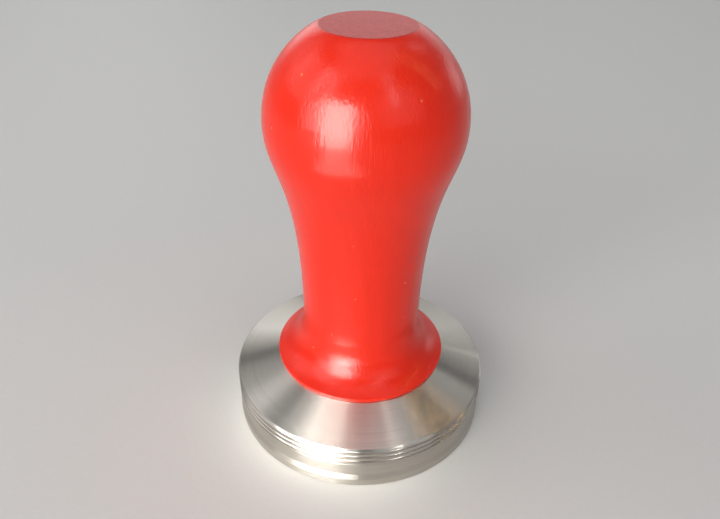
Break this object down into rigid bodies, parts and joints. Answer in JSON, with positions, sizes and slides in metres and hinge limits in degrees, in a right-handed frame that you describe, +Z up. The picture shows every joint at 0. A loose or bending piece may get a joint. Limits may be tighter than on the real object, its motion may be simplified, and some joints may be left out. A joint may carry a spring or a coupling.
{
  "type": "espresso tamper",
  "caption": "Espresso tamper with a turned, lacquered wooden handle that unscrews from a grooved steel piston.",
  "frame": {"origin": "centre of the flat tamping face, on the surface that the tamper stands on", "axes": "+Z up the handle along the turning axis; X and Y are free, because the part is round"},
  "size_m": [0.058, 0.058, 0.09],
  "materials": {
    "turned_steel": "turned stainless steel, fine concentric marks",
    "screw_steel": "rolled stainless thread",
    "washer_rubber": "matt black rubber",
    "insert_brass": "machined brass",
    "lacquered_wood": "red satin gloss lacquer over turned wood"
  },
  "bodies": {
    "piston": {"base": "turned_steel", "stud": "screw_steel"},
    "washer": {"washer": "washer_rubber"},
    "handle": {"handle": "lacquered_wood", "threaded_insert": "insert_brass"}
  },
  "joints": [
    {"name": "handle_turn", "type": "hinge", "parent": "piston", "child": "washer", "pos_m": [0, 0, 0.0149], "axis": [0, 0, 1], "range_deg": [0, 3600]},
    {"name": "handle_lift", "type": "slide", "parent": "washer", "child": "handle", "axis": [0, 0, 1], "range_m": [0, 0.01251]}
  ],
  "couplings": [
    {"joint": "handle_lift", "follows": "handle_turn", "m_per_rad": 0.00019894}
  ]
}
